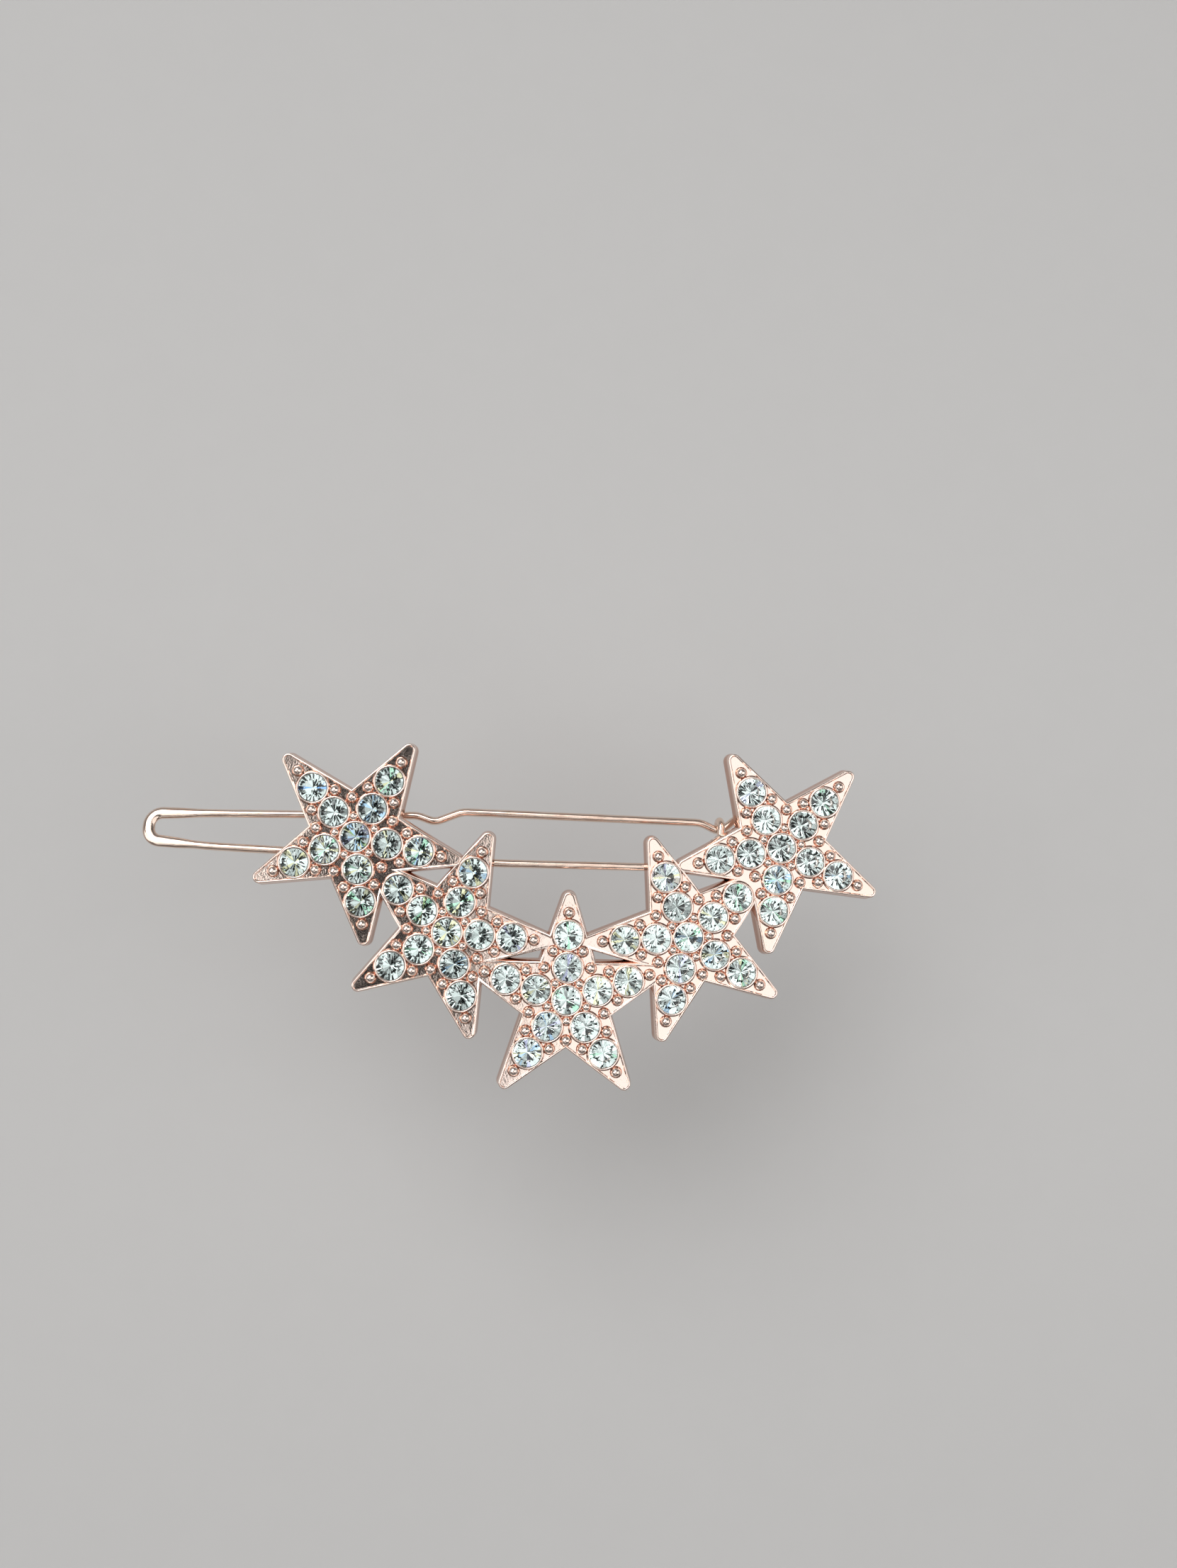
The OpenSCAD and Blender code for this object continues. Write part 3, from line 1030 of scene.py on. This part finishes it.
# A drop's middle lies this far inside the plate, and the drop is cut off a little further in
DROP_SINK = 0.05 * MM
DROP_TOP = 0.15 * MM


def solder_places(sizes):
    """Middles of the four drops: one below the hook's run, three along the fixed arm."""
    corner, back = wire_poses(sizes)
    hook = pose_after(corner, HOOK_MOVES[:1])
    yield hook @ Vector((HOOK_DROP, 0, 0))
    for done, distance in ARM_DROPS:
        yield pose_after(back, FIXED_MOVES[:done]) @ Vector((distance, 0, 0))


def solder_drop(shape, radius, number):
    """Adds a rippled drop at the origin to shape and gives its vertices."""
    drop = bmesh.ops.create_icosphere(shape, subdivisions=4, radius=radius)["verts"]
    for vert in drop:
        wave = noise.noise(vert.co / WAVE_SIZE + Vector((0, 0, 7.0 * number)))
        fine_wave = noise.noise(vert.co / FINE_WAVE_SIZE + Vector((5.0, 0, 3.0 * number)))
        vert.co *= 1 + WAVE * wave + FINE_WAVE * fine_wave
        vert.co.z *= DROP_FLATTENING
    return drop


class HAIRCLIP_OT_solder(bpy.types.Operator):
    """Run the drops of solder between the wire and the plate"""

    bl_idname = "hair_clip.solder"
    bl_label = "Solder Drops"

    def execute(self, context):
        sizes = context.scene.hair_clip_wire
        whole = bmesh.new()
        for number, place in enumerate(solder_places(sizes)):
            drop = solder_drop(whole, sizes.solder_radius, number)
            settle = Matrix.Translation((place.x, place.y, BACK_Z + DROP_SINK))
            bmesh.ops.transform(whole, matrix=settle, verts=drop)
        geometry = whole.verts[:] + whole.edges[:] + whole.faces[:]
        cut = bmesh.ops.bisect_plane(whole, geom=geometry, dist=MERGE, clear_outer=True,
                                     plane_co=(0, 0, BACK_Z + DROP_TOP), plane_no=(0, 0, 1))
        rims = [item for item in cut["geom_cut"] if isinstance(item, bmesh.types.BMEdge)]
        bmesh.ops.holes_fill(whole, edges=rims)
        bmesh.ops.recalc_face_normals(whole, faces=whole.faces)
        for face in whole.faces:
            face.smooth = not is_level(face)
        finish = satin_solder(context.scene.hair_clip_colours)
        piece = put_in_scene("solder_drops", mesh_from(whole, "solder_drops"), [finish])
        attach(piece, ORNAMENT)
        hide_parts("solder_joints")
        return {"FINISHED"}


# ---- Stage ----

# Width and depth of each soft light, its place, and its share of its setting's brightness. They
# leave a dark stretch overhead, which the left stars mirror.
KEY_LIGHT = ("key", (0.30, 0.50), (0.20, 0.0, 0.30), 1.0)
FILL_LIGHTS = [
    ("left_overhead", (0.20, 0.40), (-0.26, 0.0, 0.30), 1.0),
    ("back_overhead", (0.30, 0.16), (-0.08, 0.19, 0.30), 1.0),
    ("front_overhead", (0.30, 0.10), (-0.08, -0.20, 0.30), 0.5),
]
ROOM_LIGHT_FROM = (-0.35, 0.55, 0.75)
ROOM_LIGHT_ANGLE = math.radians(40)
# Grey of the world from the horizon up to the zenith
DOME_GREYS = [(0.0, 0.6), (0.3, 0.4), (0.7, 0.1), (0.9, 0.02)]
FLOOR_SIZE = 2.0
FLOOR_GAP = MM


def hang_light(name, data, place):
    """Hangs a light at place so that it faces the clip."""
    light = bpy.data.objects.new(name, data)
    bpy.context.scene.collection.objects.link(light)
    light.location = place
    light.rotation_euler = (-Vector(place)).to_track_quat("-Z", "Y").to_euler()


def soft_light(name, size, place, share, glow):
    """A soft light whose surface has the brightness glow times share."""
    data = bpy.data.lights.new(name, "AREA")
    data.shape = "RECTANGLE"
    data.size, data.size_y = size
    data.energy = share * glow * math.pi * size[0] * size[1]
    hang_light(name, data, place)


def room_light(strength):
    """Broad light from one side, which reaches the whole floor."""
    data = bpy.data.lights.new("room", "SUN")
    data.energy = strength
    data.angle = ROOM_LIGHT_ANGLE
    hang_light("room", data, ROOM_LIGHT_FROM)


def studio_dome(brightness):
    """World that is pale at the horizon and dark overhead."""
    dome = Finish("studio_dome", "worlds", "Generated")
    greys = dome.node("ShaderNodeValToRGB", {"stops": DOME_GREYS}, {"Fac": dome.height()})
    glow = dome.node("ShaderNodeBackground", {}, {"Color": greys, "Strength": brightness})
    dome.node("ShaderNodeOutputWorld", {}, {"Surface": glow})
    bpy.context.scene.world = dome.owner


def floor_height():
    """Height of the floor, just below the free arm's tip when the arm is swung fully open."""
    swing = frame["joints"][0]
    low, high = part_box("free_arm")
    drop = (high.x - swing["pos_m"][0]) * math.sin(math.radians(swing["range_deg"][1]))
    return low.z - drop - FLOOR_GAP


def place_camera(settings):
    """Places the camera, turned about its line of sight, pitched and yawed."""
    data = bpy.data.cameras.new("camera")
    data.lens = settings.lens
    data.clip_start = MM
    camera = bpy.data.objects.new("camera", data)
    bpy.context.scene.collection.objects.link(camera)
    turn = Matrix.Rotation(settings.eye_turn, 4, "Z")
    pitch = Matrix.Rotation(settings.eye_pitch, 4, "X")
    yaw = Matrix.Rotation(settings.eye_yaw, 4, "Y")
    world_to_eye = yaw @ pitch @ turn
    eye = Matrix.Translation((settings.eye_x, settings.eye_y, settings.eye_z))
    camera.matrix_world = eye @ world_to_eye.inverted()
    bpy.context.scene.camera = camera


class HAIRCLIP_OT_stage(bpy.types.Operator):
    """Lay the floor, hang the lights and place the camera"""

    bl_idname = "hair_clip.stage"
    bl_label = "Stage"

    def execute(self, context):
        scene = context.scene
        settings = scene.hair_clip_stage
        shape = bmesh.new()
        level = Matrix.Translation((0, 0, floor_height()))
        bmesh.ops.create_grid(shape, x_segments=8, y_segments=8, size=FLOOR_SIZE, matrix=level)
        finish = pale_floor(scene.hair_clip_colours)
        floor = put_in_scene("floor", mesh_from(shape, "floor"), [finish])
        soft_light(*KEY_LIGHT, settings.key_glow)
        for light in FILL_LIGHTS:
            soft_light(*light, settings.fill_glow)
        room_light(settings.room)
        studio_dome(settings.dome)
        place_camera(settings)
        scene.view_settings.view_transform = "Standard"
        return {"FINISHED"}


# ---- Add-on ----

class HAIRCLIP_PT_panel(bpy.types.Panel):
    """Buttons for the pieces of the hair clip"""

    bl_label = "Hair Clip"
    bl_idname = "HAIRCLIP_PT_panel"
    bl_space_type = "VIEW_3D"
    bl_region_type = "UI"
    bl_category = "Hair Clip"

    def draw(self, context):
        for operator in OPERATORS:
            self.layout.operator(operator.bl_idname)


OPERATORS = (
    HAIRCLIP_OT_casting, HAIRCLIP_OT_collars, HAIRCLIP_OT_beads, HAIRCLIP_OT_stones,
    HAIRCLIP_OT_glue, HAIRCLIP_OT_fixed_arm, HAIRCLIP_OT_free_arm, HAIRCLIP_OT_solder,
    HAIRCLIP_OT_stage,
)
GROUPS = {
    "hair_clip_star": StarSizes,
    "hair_clip_setting": SettingSizes,
    "hair_clip_stone": StoneSizes,
    "hair_clip_wire": WireSizes,
    "hair_clip_colours": ClipColours,
    "hair_clip_stage": StageSettings,
}


def register():
    for group in (*GROUPS.values(), *OPERATORS, HAIRCLIP_PT_panel):
        bpy.utils.register_class(group)
    for name, group in GROUPS.items():
        setattr(bpy.types.Scene, name, PointerProperty(type=group))


def unregister():
    for name in GROUPS:
        delattr(bpy.types.Scene, name)
    for group in reversed((*GROUPS.values(), *OPERATORS, HAIRCLIP_PT_panel)):
        bpy.utils.unregister_class(group)


def main():
    register()
    bpy.ops.hair_clip.casting()
    bpy.ops.hair_clip.collars()
    bpy.ops.hair_clip.beads()
    bpy.ops.hair_clip.stones()
    bpy.ops.hair_clip.glue()
    bpy.ops.hair_clip.fixed_arm()
    bpy.ops.hair_clip.free_arm()
    bpy.ops.hair_clip.solder()
    bpy.ops.hair_clip.stage()


if __name__ == "__main__":
    main()
